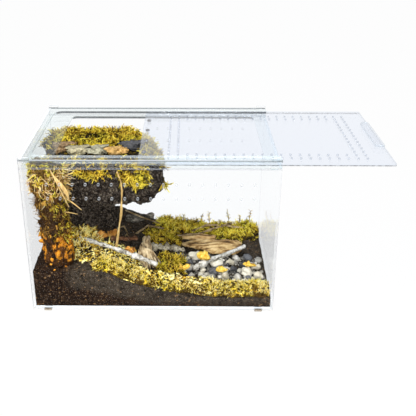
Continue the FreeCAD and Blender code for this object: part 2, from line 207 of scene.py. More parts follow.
# Two frames at the top, of the same sheet. The upper one is a U that holds the lid down, the lower one a
# window that the lid runs on; they are glued between the long walls, a lid's thickness and some play apart.
any_height = 1.0
# Edges that face front or back in the back half of each frame are painted nearly black: painted shade in
# place of the dark reflection in those edges.
rails = clear_acrylic(
    "acrylic_rails", flat_axis=2, tint=(0.962, 0.985, 0.985), gloss=(0.008, 0.5), edge_cover=0.24,
    edges=pale_edges, glued_reach=inner_reach,
    painted_dark_edges=(lambda depth: depth.above(0.0), any_height,
                ((0.030, 0.034, 0.042), (0.060, 0.066, 0.075)), 0.82))
dress("slide_frame", rails)
dress("support_frame", rails)


# Sliding lid: one perforated sheet, a little blue where it lies flat to the light, with a finger strip
# glued along its outer end and four nickel discs let into its inner end.
def welded(name):
    """One of the frame's solids as a mesh to work on, with its double vertices merged."""
    mesh = bmesh.new()
    mesh.from_mesh(nodes[name].data)
    bmesh.ops.remove_doubles(mesh, verts=mesh.verts, dist=1e-6)
    return mesh


def stored(name, mesh):
    """The data of a mesh that has been worked on, which is used up."""
    data = bpy.data.meshes.new(name)
    mesh.to_mesh(data)
    mesh.free()
    return data


def placed(name, mesh, material):
    """An object in the scene, made of a mesh and one material."""
    data = stored(name, mesh)
    data.materials.append(material)
    made = bpy.data.objects.new(name, data)
    bpy.context.scene.collection.objects.link(made)
    return made


lid_low, lid_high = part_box("lid_panel")
painted_shade_top = 0.6 * lid_low[2] + 0.4 * lid_high[2]
# The lid's cut edges, the walls of its vent holes among them, are painted dark grey as the shade inside the
# holes, and its long front and back edges get a darker band of painted shade below painted_shade_top, in
# place of their reflection.
lid_sheet = clear_acrylic(
    "acrylic_lid", flat_axis=2, tint=(0.922, 0.942, 0.980), gloss=(0.02, 1.4), edge_cover=0.20,
    edges=((0.14, 0.145, 0.15), (0.36, 0.38, 0.40)),
    painted_dark_edges=(lambda depth: depth.maths("ABSOLUTE", depth).above(lid_high[1] - 0.0005), painted_shade_top,
                ((0.045, 0.044, 0.043), (0.24, 0.25, 0.26)), 0.75))
dress("lid_panel", lid_sheet)
strip_skin = clear_acrylic(
    "acrylic_strip", flat_axis=2, tint=(0.950, 0.960, 0.975), gloss=(0.02, 0.8), edge_cover=0.20,
    edges=((0.26, 0.32, 0.35), (0.34, 0.40, 0.44)))
strip = welded("lid_pull")
bmesh.ops.dissolve_limit(strip, angle_limit=0.01, verts=strip.verts, edges=strip.edges)
strip_foot, glue_film, foot_reach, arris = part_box("lid_pull")[0][2], 0.00005, 0.001, 0.0003
for vert in strip.verts:
    if vert.co.z < strip_foot + glue_film:
        vert.co.z += glue_film
upper_edges = [edge for edge in strip.edges
               if all(vert.co.z > strip_foot + foot_reach for vert in edge.verts)]
bmesh.ops.bevel(strip, geom=upper_edges, offset=arris, offset_type="OFFSET", segments=2, profile=0.5,
                affect="EDGES", material=-1)
finger_strip = placed("lid_finger_strip", strip, strip_skin)
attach(finger_strip, "lid")
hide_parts("lid_pull")
nickel, shade = blank_material("nickel_disc")
worn = shade.noise(900.0, 4.0)
shade.finish(shade.node("BsdfPrincipled", inputs={
    "Base Color": worn.between((0.10, 0.10, 0.11), (0.24, 0.24, 0.25)), "Metallic": 0.5,
    "Roughness": 0.3 + 0.25 * worn}))
dress("lid_magnets", nickel)

# Four rubber pads glued under the corners of the base. They stand just inside the place of the raised
# ears of a tank below, so that one tank stacks on another.
rubber, shade = blank_material("foot_rubber")
grain = shade.noise(1500.0)
shade.finish(shade.node("BsdfPrincipled", inputs={
    "Base Color": grain.between((0.20, 0.17, 0.13), (0.34, 0.29, 0.23)), "Roughness": 0.7 + 0.2 * grain,
    "Normal": grain.bump(0.0001)}))
for name in ("foot_front_left", "foot_front_right", "foot_back_left", "foot_back_right"):
    dress(name, rubber)


# Soil: a loose dark mix of earth, bark fibre and crumbs, poured in and banked up to the left. Its side
# shows as a cut section behind the walls, with a dry grey band under the slope.
def earthy(name, dark, middle, light, fleck, fleck_share, depth, dust=None):
    material, shade = blank_material(name)
    place = shade.place()
    clods = shade.noise(110.0, 5.0, 0.7, place)
    crumbs = shade.noise(340.0, 5.0, 0.75, place)
    cells = shade.node("TexVoronoi", inputs={
        "Vector": place, "Scale": 560.0, "Randomness": 1.0}, output="Color")
    chance = shade.node("SeparateColor", inputs={0: cells}, output=0)
    ground = (0.30 * clods + 0.70 * crumbs + 0.30 * shade.tone()).ramp(
        (0.43, dark), (0.51, middle), (0.62, light))
    if dust:
        along, height = place.part("X"), place.part("Z")
        slope_top = along.share(-0.115, 0.010) * -0.026 + 0.050
        below_slope = slope_top - height + 0.030 * (clods - 0.5)
        band = below_slope.share(0.019, 0.011) * along.share(-0.112, -0.095)
        dry = (0.4 * clods + 0.6 * crumbs).ramp((0.40, dust[0]), (0.62, dust[1]))
        ground = (band * 0.85).between(ground, dry)
    shade.finish(shade.node("BsdfPrincipled", inputs={
        "Base Color": (chance.above(1.0 - fleck_share) * crumbs).between(ground, fleck),
        "Roughness": 0.8 + 0.15 * crumbs, "Specular IOR Level": 0.06,
        "Normal": (crumbs + 0.6 * clods).bump(depth)}))
    return material


def fine_skin(name, voxel, smoothing=0):
    """A fine closed mesh over one of the frame's solids, to be worked on further."""
    rough = stored(name + "_rough", welded(name))
    held = bpy.data.objects.new(name + "_rough", rough)
    bpy.context.scene.collection.objects.link(held)
    remesh = held.modifiers.new("skin", "REMESH")
    remesh.mode, remesh.voxel_size = "VOXEL", voxel
    fine = bmesh.new()
    fine.from_mesh(bpy.data.meshes.new_from_object(held.evaluated_get(bpy.context.evaluated_depsgraph_get())))
    bpy.data.objects.remove(held)
    bpy.data.meshes.remove(rough)
    for _ in range(smoothing):
        bmesh.ops.smooth_vert(fine, verts=fine.verts, factor=0.5,
                              use_axis_x=True, use_axis_y=True, use_axis_z=True)
    fine.verts.layers.float.new("tone")
    fine.normal_update()
    return fine


def weathered(mesh, layers, seed, stretch=(1.0, 1.0, 1.0), swell=0.0):
    """Pushes a skin in and out by layers of noise, each (size of a lump, depth), and outward by the swell."""
    moves = []
    for vert in mesh.verts:
        spot = Vector(c / s for c, s in zip(vert.co, stretch))
        push = swell + sum(depth * noise.noise(spot / size + Vector((seed, seed, 0.0)))
                           for size, depth in layers)
        moves.append(vert.co + vert.normal * push)
    for vert, spot in zip(mesh.verts, moves):
        vert.co = spot
    mesh.normal_update()


def inside_walls():
    """The corners of the room between the tank's walls, under the lower frame."""
    low, high = Vector(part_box("soil")[0]), Vector(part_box("soil")[1])
    return low, Vector((high.x, high.y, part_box("support_frame")[0][2] - 0.001))


def piece(name, mesh, material, slot, replaced=()):
    """One finished piece that rides on the tank, pressed flat where it meets the walls."""
    low, high = inside_walls()
    for vert in mesh.verts:
        vert.co = Vector(min(max(vert.co[i], low[i]), high[i]) for i in range(3))
    mesh.normal_update()
    for face in mesh.faces:
        face.smooth = True
    made = placed(name, mesh, material)
    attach(made, "tank")
    if replaced:
        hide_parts(*replaced)


def spots_on(mesh, count, rng, wanted):
    """Random places on a mesh, evenly over its area, with the normal there."""
    faces = [face for face in mesh.faces if wanted(face.calc_center_median(), face.normal)]
    for face in rng.choices(faces, [face.calc_area() for face in faces], k=count):
        shares = [rng.random() + 1e-6 for _ in face.verts]
        yield sum((v.co * s for v, s in zip(face.verts, shares)), Vector()) / sum(shares), face.normal.copy()


def sown(mesh, shapes, places):
    """Adds a copy of one of a few small shapes at each place."""
    for index, place in places:
        copy = shapes[index].copy()
        copy.transform(place)
        mesh.from_mesh(copy)
        bpy.data.meshes.remove(copy)


def crumb_shapes(tones):
    """Small angular lumps, one for each tone, from dark to light."""
    shapes = []
    for seed, tone in enumerate(tones):
        lump = bmesh.new()
        bmesh.ops.create_icosphere(lump, subdivisions=1, radius=1.0)
        layer = lump.verts.layers.float.new("tone")
        for vert in lump.verts:
            vert.co *= 0.75 + 0.5 * noise.noise(vert.co * 1.3 + Vector((seed * 7.0, 0.0, 0.0)))
            vert[layer] = tone
        shapes.append(stored("crumb", lump))
    return shapes


def strewn(mesh, surface, rng, wanted, count, sizes, flatness, lift):
    """Strews crumbs that lie along a surface, the flatter the lower their flatness."""
    places = []
    for spot, normal in spots_on(surface, count, rng, wanted):
        size = rng.uniform(*sizes)
        lie = (normal + Vector(rng.gauss(0, 0.35) for _ in range(3))).to_track_quat("Z", "Y")
        turn = lie.to_matrix().to_4x4() @ Matrix.Rotation(rng.uniform(0, 6.28), 4, "Z")
        shape = Matrix.Diagonal((size, size * rng.uniform(0.5, 1.0), size * rng.uniform(*flatness), 1.0))
        place = Matrix.Translation(spot + normal * lift * size) @ turn @ shape
        places.append((rng.randrange(len(crumb)), place))
    sown(mesh, crumb, places)


crumb = crumb_shapes((0.0, 0.15, 0.35, 0.6, 0.9))
soil_rng = random.Random(11)
soil_mix = earthy(
    "soil_mix", dark=(0.0050, 0.0028, 0.0016), middle=(0.016, 0.0088, 0.0050), light=(0.058, 0.034, 0.019),
    fleck=(0.27, 0.155, 0.065), fleck_share=0.026, depth=0.0014,
    dust=((0.008, 0.0056, 0.004), (0.085, 0.068, 0.048)))
soil = fine_skin("soil", voxel=0.0028)
weathered(soil, ((0.020, 0.0022), (0.006, 0.0016), (0.0025, 0.0008)), seed=3.0)
soil_low, soil_high = inside_walls()
pressed_flat = 0.0040
for vert in soil.verts:
    for axis in range(3):
        for wall in (soil_low, soil_high):
            if abs(vert.co[axis] - wall[axis]) < pressed_flat:
                vert.co[axis] = wall[axis]
soil.normal_update()
strewn(soil, soil, soil_rng, lambda spot, normal: normal.z > 0.5,
       count=3200, sizes=(0.0008, 0.0024), flatness=(0.35, 0.8), lift=0.0)
piece("soil_bank", soil, soil_mix, "soil", ("soil",))

# Hide: a ledge of bound peat and tree-fern fibre that juts out from the back left corner, on a wall of
# the same stuff. It is almost black, lumpy underneath and full of crumbs.
peat = earthy(
    "peat", dark=(0.0040, 0.0028, 0.0020), middle=(0.018, 0.0135, 0.010), light=(0.085, 0.068, 0.052),
    fleck=(0.20, 0.165, 0.12), fleck_share=0.05, depth=0.0020)
hide_rng = random.Random(23)
for name, made_name, seed in (("hide_ledge", "peat_ledge", 5.0), ("hide_wall", "peat_wall", 9.0)):
    lump = fine_skin(name, voxel=0.0026, smoothing=2)
    weathered(lump, ((0.024, 0.0045), (0.010, 0.0036), (0.004, 0.0020)), seed)
    strewn(lump, lump, hide_rng, lambda spot, normal: normal.z < 0.7,
           count=2600, sizes=(0.0010, 0.0030), flatness=(0.35, 0.8), lift=0.0)
    piece(made_name, lump, peat, "peat", (name,))


# Moss: dry golden to olive mats, each a thin felt, painted dark as the shade between the shoots, with curled
# shoots standing on it. One lies on the ledge, one is heaped under it and four lie on the soil.
def moss_colour(name, warm, green):
    """Colours run from the painted shade at a shoot's root and on the felt to its tip, in warmer and greener
    patches.
    """
    material, shade = blank_material(name)
    place = shade.place()
    patch = shade.noise(38.0, 3.0, 0.6, place)
    clump = shade.noise(150.0, 3.0, 0.6, place)
    fleck = shade.noise(380.0, 3.0, 0.6, place)
    level = (1.15 * shade.tone() - 0.06 + 0.40 * (fleck.share(0.32, 0.68) - 0.5)
             + 0.50 * (clump.share(0.32, 0.68) - 0.45) + 0.25 * (patch - 0.5))
    steps = (0.06, 0.24, 0.46, 0.78)
    tint = patch.share(0.40, 0.62).between(level.ramp(*zip(steps, warm)), level.ramp(*zip(steps, green)))
    shade.finish(shade.node("BsdfPrincipled", inputs={
        "Base Color": tint, "Roughness": 0.65 + 0.25 * fleck, "Specular IOR Level": 0.12}))
    return material


def curled(spot, curl):
    turn = curl * spot[2]
    return Vector(((1.0 - math.cos(turn)) / curl + spot[0] * math.cos(turn), spot[1],
                   math.sin(turn) / curl - spot[0] * math.sin(turn)))


def shoot_shapes(width, side_shoots):
    """Shoots one unit tall, in four tones and curls: a stem and side shoots (foot, length, lean, turn)."""
    shapes = []
    for tone in (0.28, 0.55, 0.80, 1.05):
        for curl in (0.6, 1.4, -1.0, 2.1):
            shoot = bmesh.new()
            layer = shoot.verts.layers.float.new("tone")
            for foot, length, lean, turn in ((0.0, 1.0, 0.0, 0.0), *side_shoots):
                first = len(shoot.verts)
                made = bmesh.ops.create_cone(shoot, cap_ends=True, segments=3, radius1=0.5 * width,
                                             radius2=0.2 * width, depth=1.0)["verts"]
                bmesh.ops.translate(shoot, verts=made, vec=(0.0, 0.0, 0.5))
                sides = [e for e in dict.fromkeys(e for v in made for e in v.link_edges)
                         if abs(e.verts[0].co.z - e.verts[1].co.z) > 0.5]
                bmesh.ops.subdivide_edges(shoot, edges=sides, cuts=1 if foot else 3, use_grid_fill=True)
                place = (Matrix.Translation(curled((0.0, 0.0, foot), curl)) @ Matrix.Rotation(turn, 4, "Z")
                         @ Matrix.Rotation(lean, 4, "Y") @ Matrix.Scale(length, 4))
                shoot.verts.ensure_lookup_table()
                for vert in shoot.verts[first:]:
                    # Tone rises from root to tip, so each shoot is painted in shade at its root.
                    vert[layer] = tone * (0.12 + 0.88 * (foot + (1.0 - foot) * vert.co.z))
                    vert.co = place @ curled(vert.co, curl)
            shapes.append(stored("shoot", shoot))
    return shapes


def planted(mesh, surface, shapes, rng, wanted, count, lengths, rise, lean):
    """Plants shoots that stand up by the rise and lean one way, longer and paler in some clumps."""
    places = []
    for spot, normal in spots_on(surface, count, rng, wanted):
        clump = noise.noise(spot * 120.0)
        tone = min(max(int(rng.gauss(1.7 + 2.4 * clump, 1.3)), 0), 3)
        aim = normal * rise + Vector(lean) + Vector(rng.gauss(0, 0.5) for _ in range(3))
        upright = aim.to_track_quat("Z", "Y").to_matrix().to_4x4()
        turn = upright @ Matrix.Rotation(rng.uniform(0, 6.28), 4, "Z")
        size = Matrix.Scale(rng.uniform(*lengths) * (0.85 + 0.5 * clump), 4)
        places.append((4 * tone + rng.randrange(4), Matrix.Translation(spot - normal * 0.0005) @ turn @ size))
    sown(mesh, shapes, places)


sprig = shoot_shapes(width=0.15, side_shoots=((0.35, 0.45, 0.9, 0.7), (0.60, 0.40, 0.8, 3.4)))
strand = shoot_shapes(width=0.085, side_shoots=())
gold = moss_colour(
    "moss_gold",
    warm=((0.008, 0.004, 0.001), (0.17, 0.085, 0.004), (0.68, 0.44, 0.012), (0.92, 0.76, 0.12)),
    green=((0.006, 0.005, 0.001), (0.13, 0.098, 0.003), (0.58, 0.46, 0.010), (0.88, 0.77, 0.10)))
olive = moss_colour(
    "moss_olive",
    warm=((0.005, 0.003, 0.001), (0.10, 0.048, 0.002), (0.46, 0.265, 0.008), (0.80, 0.60, 0.07)),
    green=((0.004, 0.003, 0.001), (0.066, 0.050, 0.002), (0.35, 0.27, 0.006), (0.72, 0.60, 0.06)))
straw = moss_colour(
    "moss_straw",
    warm=((0.055, 0.028, 0.003), (0.66, 0.42, 0.045), (0.94, 0.72, 0.13), (0.96, 0.88, 0.48)),
    green=((0.036, 0.022, 0.001), (0.56, 0.38, 0.010), (0.91, 0.71, 0.034), (0.96, 0.87, 0.28)))
dry_heap = moss_colour(
    "moss_dry_heap",
    warm=((0.007, 0.003, 0.001), (0.28, 0.140, 0.010), (0.93, 0.64, 0.07), (0.97, 0.88, 0.42)),
    green=((0.006, 0.003, 0.001), (0.22, 0.125, 0.005), (0.90, 0.64, 0.04), (0.97, 0.86, 0.30)))
ledge_stones = (
    ("ledge_stone_brown", (-0.112, -0.016), (0.013, 0.009, 0.008), 0.4,
     ((0.03, 0.014, 0.005), (0.30, 0.19, 0.09), (0.80, 0.68, 0.44))),
    ("ledge_stone_flat", (-0.092, -0.025), (0.014, 0.009, 0.007), -0.15,
     ((0.05, 0.040, 0.022), (0.48, 0.43, 0.27), (0.84, 0.80, 0.62))),
    ("ledge_stone_lichen", (-0.066, -0.023), (0.013, 0.008, 0.007), 0.35,
     ((0.06, 0.050, 0.030), (0.42, 0.40, 0.28), (0.76, 0.75, 0.60))),
    ("ledge_stone_orange", (-0.046, -0.027), (0.012, 0.007, 0.006), 0.2,
     ((0.14, 0.055, 0.012), (0.62, 0.38, 0.12), (0.88, 0.72, 0.44))),
    ("ledge_stone_grey", (-0.027, -0.006), (0.015, 0.010, 0.008), 0.6,
     ((0.018, 0.018, 0.020), (0.085, 0.085, 0.09), (0.26, 0.26, 0.27))),
)


def clear_of_stones(spot, normal):
    """Upper sides of a mat, but not where a stone on the ledge lies or would be hidden by shoots."""
    ledge_height = 0.15
    beside = any(abs(spot.x - x) < 0.9 * half_length and y - 0.030 < spot.y < y + 0.5 * half_width
                 for _, (x, y), (half_length, half_width, _), _, _ in ledge_stones)
    return normal.z > -0.3 and not (beside and spot.z > ledge_height)


moss_rng = random.Random(47)
for name, made_name, colour, count, lengths, rise in (
    ("moss_cap", "moss_on_ledge", olive, 3200, (0.005, 0.013), 1.0),
    ("moss_mound", "moss_heap", dry_heap, 620, (0.007, 0.016), 1.0),
    ("moss_front", "moss_front_strip", straw, 3300, (0.003, 0.007), 0.9),
    ("moss_middle", "moss_middle_patch", olive, 850, (0.004, 0.009), 1.0),
    ("moss_side", "moss_side_patch", olive, 850, (0.004, 0.009), 1.0),
    ("moss_back", "moss_back_mat", gold, 2700, (0.004, 0.011), 1.0),
):
    # The felt keeps tone 0, the darkest colour of the moss: painted shade in the gaps between the shoots.
    shade_felt = fine_skin(name, voxel=0.0022)
    weathered(shade_felt, ((0.016, 0.0040), (0.006, 0.0024)), seed=2.0)
    planted(shade_felt, shade_felt, sprig, moss_rng, clear_of_stones, count, lengths, rise, lean=(0.0, 0.0, 0.2))
    piece(made_name, shade_felt, colour, "moss", (name,))


# Moss that hangs over the front of the ledge in two ragged clumps, with a fringe along the top edge and a
# single tuft at the right. It grows on the peat and is held by it.
def empty_mesh():
    mesh = bmesh.new()
    mesh.verts.layers.float.new("tone")
    return mesh


ledge_face = fine_skin("hide_ledge", voxel=0.0030, smoothing=2)
drape_low, drape_high = (Vector(corner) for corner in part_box("moss_drape"))


def in_clump(spot, left, right, foot):
    share = (spot.x - drape_low.x) / (drape_high.x - drape_low.x)
    ragged = foot + 0.012 * noise.noise(Vector((spot.x * 75.0, spot.y * 75.0, 0.0)))
    return left < share < right and spot.z > ragged and spot.y < drape_high.y + 0.014


hanging = empty_mesh()
downward = (0.0, -0.25, -1.0)
planted(hanging, ledge_face, sprig, moss_rng,
        lambda spot, normal: in_clump(spot, left=-0.06, right=0.38, foot=0.164),
        count=260, lengths=(0.007, 0.014), rise=0.6, lean=downward)
planted(hanging, ledge_face, sprig, moss_rng,
        lambda spot, normal: in_clump(spot, left=0.48, right=0.93, foot=0.157),
        count=420, lengths=(0.007, 0.016), rise=0.6, lean=downward)
planted(hanging, ledge_face, sprig, moss_rng,
        lambda spot, normal: in_clump(spot, left=-0.25, right=1.2, foot=0.179) and normal.y < 0.3,
        count=300, lengths=(0.004, 0.009), rise=1.0, lean=(0.0, -0.1, -0.3))
planted(hanging, ledge_face, sprig, moss_rng,
        lambda spot, normal: spot.x > 0.0125 and 0.150 < spot.z < 0.166 and spot.y < -0.020,
        count=16, lengths=(0.010, 0.019), rise=0.2, lean=(0.15, 0.0, -1.3))
ledge_face.free()
piece("moss_hanging", hanging, olive, "moss", ("moss_drape",))


# Loose stones on top of the ledge, at its front edge: a brown one, two crusted with lichen, an orange one
# and a dark grey one. They lie in the moss.
def stony(name, dark, middle, light, depth, cloud_scale=75.0):
    material, shade = blank_material(name)
    place = shade.place()
    cloud = shade.noise(cloud_scale, 4.0, 0.6, place)
    speck = shade.noise(420.0, 4.0, 0.75, place)
    tint = (0.40 * cloud + 0.40 * speck + 0.45 * shade.tone()).ramp(
        (0.36, dark), (0.52, middle), (0.72, light))
    shade.finish(shade.node("BsdfPrincipled", inputs={
        "Base Color": tint, "Roughness": 0.5 + 0.3 * speck, "Specular IOR Level": 0.2,
        "Normal": (speck + cloud).bump(depth)}))
    return material


def rock(mesh, spot, radii, turn, seed, rough, tone=0.2, subdivisions=3):
    """One stone: a ball pushed out of round by noise, then stretched, turned and set down."""
    made = bmesh.ops.create_icosphere(mesh, subdivisions=subdivisions, radius=1.0)["verts"]
    for vert in made:
        start = vert.co + Vector((seed, seed, 0.0))
        lumps, dents, grain = (noise.noise(start * scale) for scale in (1.2, 3.5, 9.0))
        vert.co *= 1.0 + rough * (lumps + 0.5 * dents + 0.2 * grain)
        vert[mesh.verts.layers.float["tone"]] = tone
    place = Matrix.Translation(spot) @ Matrix.Rotation(turn, 4, "Z") @ Matrix.Diagonal((*radii, 1.0))
    bmesh.ops.transform(mesh, matrix=place, verts=made)


ledge_top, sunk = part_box("moss_cap")[1][2], 0.001
for name, spot, radii, turn, colours in ledge_stones:
    lump = empty_mesh()
    rock(lump, (*spot, ledge_top - sunk), radii, turn, seed=len(name) * spot[0] * 40.0, rough=0.75,
         subdivisions=4)
    piece(name, lump, stony(name, *colours, depth=0.0030, cloud_scale=230.0), "stone_grey")


# Cork bark log that stands in the front left corner: brown, cracked and hairy in the middle, with a pale
# torn husk at the top, orange flakes of rotten wood at its foot and moss caught on its side and top.
def grained(name, stops, stretch, depth):
    material, shade = blank_material(name)
    place = shade.place()
    grain = shade.noise(300.0, 5.0, 0.65, place.stretched(stretch))
    blotch = shade.noise(85.0, 3.0, 0.6, place)
    shade.finish(shade.node("BsdfPrincipled", inputs={
        "Base Color": (0.62 * grain + 0.38 * blotch + 0.3 * shade.tone()).ramp(*stops),
        "Roughness": 0.6 + 0.3 * grain, "Specular IOR Level": 0.12,
        "Normal": (grain + 0.5 * blotch).bump(depth)}))
    return material


log_low, log_high = (Vector(corner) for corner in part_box("bark_log"))
cork, shade = blank_material("cork_bark")
place = shade.place()
height = place.part("Z").share(log_low.z, log_high.z)
chunks = shade.noise(120.0, 4.0, 0.65, place)
fibres = shade.noise(420.0, 4.0, 0.7, place.stretched((1.0, 1.0, 0.4)))
bark = (height + 0.30 * (chunks - 0.5)).ramp(
    (0.00, (0.030, 0.014, 0.006)), (0.10, (0.10, 0.038, 0.008)), (0.36, (0.028, 0.013, 0.005)),
    (0.55, (0.036, 0.017, 0.006)), (0.72, (0.10, 0.046, 0.010)), (0.86, (0.15, 0.075, 0.018)),
    (1.0, (0.12, 0.070, 0.016)))
rotten = shade.noise(62.0, 3.0, 0.55, place).share(0.50, 0.56) * height.share(0.40, 0.30)
orange = fibres.ramp((0.36, (0.26, 0.085, 0.008)), (0.52, (0.62, 0.24, 0.014)), (0.70, (0.78, 0.38, 0.03)))
bark = rotten.between(bark, orange)
cracks = (0.55 * chunks + 0.45 * fibres).share(0.49, 0.55)
shade.finish(shade.node("BsdfPrincipled", inputs={
    "Base Color": cracks.between(bark, (0.014, 0.008, 0.004)), "Roughness": 0.75 + 0.2 * fibres,
    "Specular IOR Level": 0.08, "Normal": (fibres + chunks).bump(0.0018)}))
bark_rng = random.Random(31)
log = fine_skin("bark_log", voxel=0.0018, smoothing=1)
weathered(log, ((0.014, 0.0055), (0.006, 0.0040), (0.0025, 0.0016)), seed=13.0, stretch=(1.0, 1.0, 2.0))
husk, hair, rot, log_moss = empty_mesh(), empty_mesh(), empty_mesh(), empty_mesh()


def log_share(low, high, side=0.0, reach=-2.0):
    """Faces of the log between two ragged shares of its height, that look far enough to one side."""
    def wanted(spot, normal):
        share = (spot.z - log_low.z) / (log_high.z - log_low.z) + 0.10 * noise.noise(spot * 90.0)
        return low < share < high and normal.x * side > reach
    return wanted


planted(husk, log, strand, bark_rng, log_share(0.73, 0.95),
        count=330, lengths=(0.009, 0.017), rise=0.35, lean=(0.45, -0.2, -0.7))
planted(husk, log, sprig, bark_rng, log_share(0.76, 0.97),
        count=150, lengths=(0.004, 0.009), rise=0.7, lean=(0.2, -0.2, -0.4))
strewn(husk, log, bark_rng, log_share(0.72, 0.94),
       count=16, sizes=(0.003, 0.007), flatness=(0.12, 0.25), lift=0.1)
planted(hair, log, strand, bark_rng, log_share(0.32, 0.84),
        count=950, lengths=(0.006, 0.013), rise=0.5, lean=(0.1, -0.1, -0.4))
strewn(hair, log, bark_rng, log_share(0.30, 0.75),
       count=60, sizes=(0.002, 0.005), flatness=(0.2, 0.5), lift=0.2)
strewn(rot, log, bark_rng, log_share(0.02, 0.33),
       count=30, sizes=(0.0030, 0.0080), flatness=(0.2, 0.4), lift=0.0)
planted(log_moss, log, sprig, bark_rng, log_share(0.28, 0.80, side=1.0, reach=0.25),
        count=380, lengths=(0.004, 0.009), rise=0.9, lean=(0.0, -0.1, -0.1))
planted(log_moss, log, sprig, bark_rng, log_share(0.88, 1.2),
        count=420, lengths=(0.005, 0.010), rise=0.9, lean=(0.0, -0.2, 0.0))
piece("cork_log", log, cork, "cork_bark", ("bark_log",))
torn_husk = grained(
    "log_husk", ((0.42, (0.045, 0.017, 0.004)), (0.52, (0.38, 0.18, 0.034)), (0.62, (0.80, 0.55, 0.20)),
                 (0.76, (0.93, 0.81, 0.52))), stretch=(1.0, 1.0, 0.4), depth=0.0006)
bark_hair = grained(
    "log_hair", ((0.42, (0.007, 0.003, 0.001)), (0.56, (0.070, 0.030, 0.006)), (0.70, (0.32, 0.165, 0.026)),
                 (0.90, (0.60, 0.38, 0.07))), stretch=(1.0, 1.0, 0.4), depth=0.0006)
rotten_wood = grained(
    "log_rot", ((0.36, (0.10, 0.032, 0.005)), (0.50, (0.46, 0.165, 0.012)), (0.70, (0.72, 0.30, 0.020)),
                (0.90, (0.84, 0.46, 0.06))), stretch=(1.0, 1.0, 1.0), depth=0.0010)
piece("log_husk", husk, torn_husk, "cork_bark")
piece("log_hair", hair, bark_hair, "cork_bark")
piece("log_rot", rot, rotten_wood, "cork_bark")
piece("moss_on_log", log_moss, gold, "moss")

# Litter on the slope between the log and the front moss: husks, flakes of leaf and straw, fallen dry on
# the soil and on the moss, with bits of rotten wood below the log.
ground = fine_skin("soil", voxel=0.0040)
litter, litter_rng = empty_mesh(), random.Random(53)


def on_slope(spot, normal):
    """The slope from the log down to the front moss, short of the front wall at its upper end."""
    fallen_short = spot.y > -0.075 - 0.4 * (spot.x + 0.090)
    past_log = spot.x + 0.35 * spot.y > -0.140
    return normal.z > 0.4 and -0.112 < spot.x < -0.012 and spot.y < -0.020 and past_log and fallen_short


strewn(litter, ground, litter_rng, on_slope,
       count=1100, sizes=(0.0014, 0.0044), flatness=(0.12, 0.3), lift=0.3)
planted(litter, ground, strand, litter_rng, on_slope,
        count=450, lengths=(0.006, 0.015), rise=0.25, lean=(0.0, -0.1, 0.1))
front_moss = fine_skin("moss_front", voxel=0.0040)
strewn(litter, front_moss, litter_rng,
       lambda spot, normal: normal.z > 0.4 and -0.010 < spot.x < 0.070 and spot.y > -0.086,
       count=220, sizes=(0.0018, 0.0046), flatness=(0.12, 0.3), lift=0.9)
front_moss.free()
piece("slope_litter", litter, dry_heap, "moss")
bits = empty_mesh()
strewn(bits, ground, litter_rng, lambda spot, normal: normal.z > 0.4 and spot.x < -0.080 and spot.y < -0.040,
       count=26, sizes=(0.0010, 0.0026), flatness=(0.3, 0.6), lift=0.3)
piece("rotten_bits", bits, rotten_wood, "cork_bark")


# Stones on the bare patch at the right: smooth pebbles in cream, grey and charcoal, with smaller stones and
# fine gravel between them. They lie loose on the soil.
def islands(mesh):
    """The separate lumps of a mesh, each as a list of its vertices."""
    mesh.verts.index_update()
    met = set()
    for start in mesh.verts:
        if start.index not in met:
            met.add(start.index)
            lump = [start]
            for vert in lump:
                for other in (edge.other_vert(vert) for edge in vert.link_edges):
                    if other.index not in met:
                        met.add(other.index)
                        lump.append(other)
            yield lump


stone_rng = random.Random(61)
for name, slot, colours in (
    ("pebbles_pale", "stone_pale", ((0.18, 0.145, 0.092), (0.48, 0.43, 0.32), (0.70, 0.66, 0.55))),
    ("pebbles_grey", "stone_grey", ((0.085, 0.080, 0.066), (0.27, 0.255, 0.22), (0.56, 0.53, 0.47))),
    ("pebbles_black", "stone_black", ((0.014, 0.014, 0.015), (0.036, 0.036, 0.040), (0.11, 0.11, 0.115))),
    ("lichen_stone", "stone_lichen", ((0.14, 0.14, 0.12), (0.34, 0.35, 0.30), (0.60, 0.62, 0.54))),
):
    stones = fine_skin(name, voxel=0.0010, smoothing=3)
    weathered(stones, ((0.008, 0.0034), (0.004, 0.0020)), seed=7.0)
    layer = stones.verts.layers.float["tone"]
    for stone in islands(stones):
        tone = stone_rng.uniform(0.1, 0.75)
        for vert in stone:
            vert[layer] = tone
    piece(name + "_worn", stones, stony(name, *colours, depth=0.0004), slot, (name,))
twig_foot, twig_tip = (Vector(corner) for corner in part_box("twig_right"))


def bare_patch(spot, normal):
    """The soil around the pebbles, clear of the twig that lies across them."""
    from_twig = (spot - geometry.intersect_point_line(spot, twig_foot, twig_tip)[0]).length
    return normal.z > 0.5 and 0.028 < spot.x < 0.142 and -0.068 < spot.y < 0.006 and from_twig > 0.008


small = empty_mesh()
for spot, _ in spots_on(ground, 240, stone_rng, bare_patch):
    size = stone_rng.uniform(0.0016, 0.0044)
    radii = (size, size * stone_rng.uniform(0.6, 1.0), size * stone_rng.uniform(0.5, 0.8))
    rock(small, spot + Vector((0.0, 0.0, 0.3 * size)), radii, turn=stone_rng.uniform(0.0, 3.1),
         seed=stone_rng.uniform(0.0, 90.0), rough=0.5, tone=stone_rng.uniform(-0.2, 0.75), subdivisions=2)
mixed_stone = stony(
    "small_stones", (0.030, 0.029, 0.027), (0.27, 0.25, 0.21), (0.64, 0.60, 0.50), depth=0.0004)
piece("small_stones", small, mixed_stone, "stone_grey")
gravel = empty_mesh()
strewn(gravel, ground, stone_rng, bare_patch,
       count=900, sizes=(0.0008, 0.0022), flatness=(0.45, 0.9), lift=0.3)
fine_gravel = stony("gravel", (0.020, 0.017, 0.013), (0.12, 0.10, 0.08), (0.46, 0.42, 0.35), depth=0.0004)
piece("gravel", gravel, fine_gravel, "stone_grey")

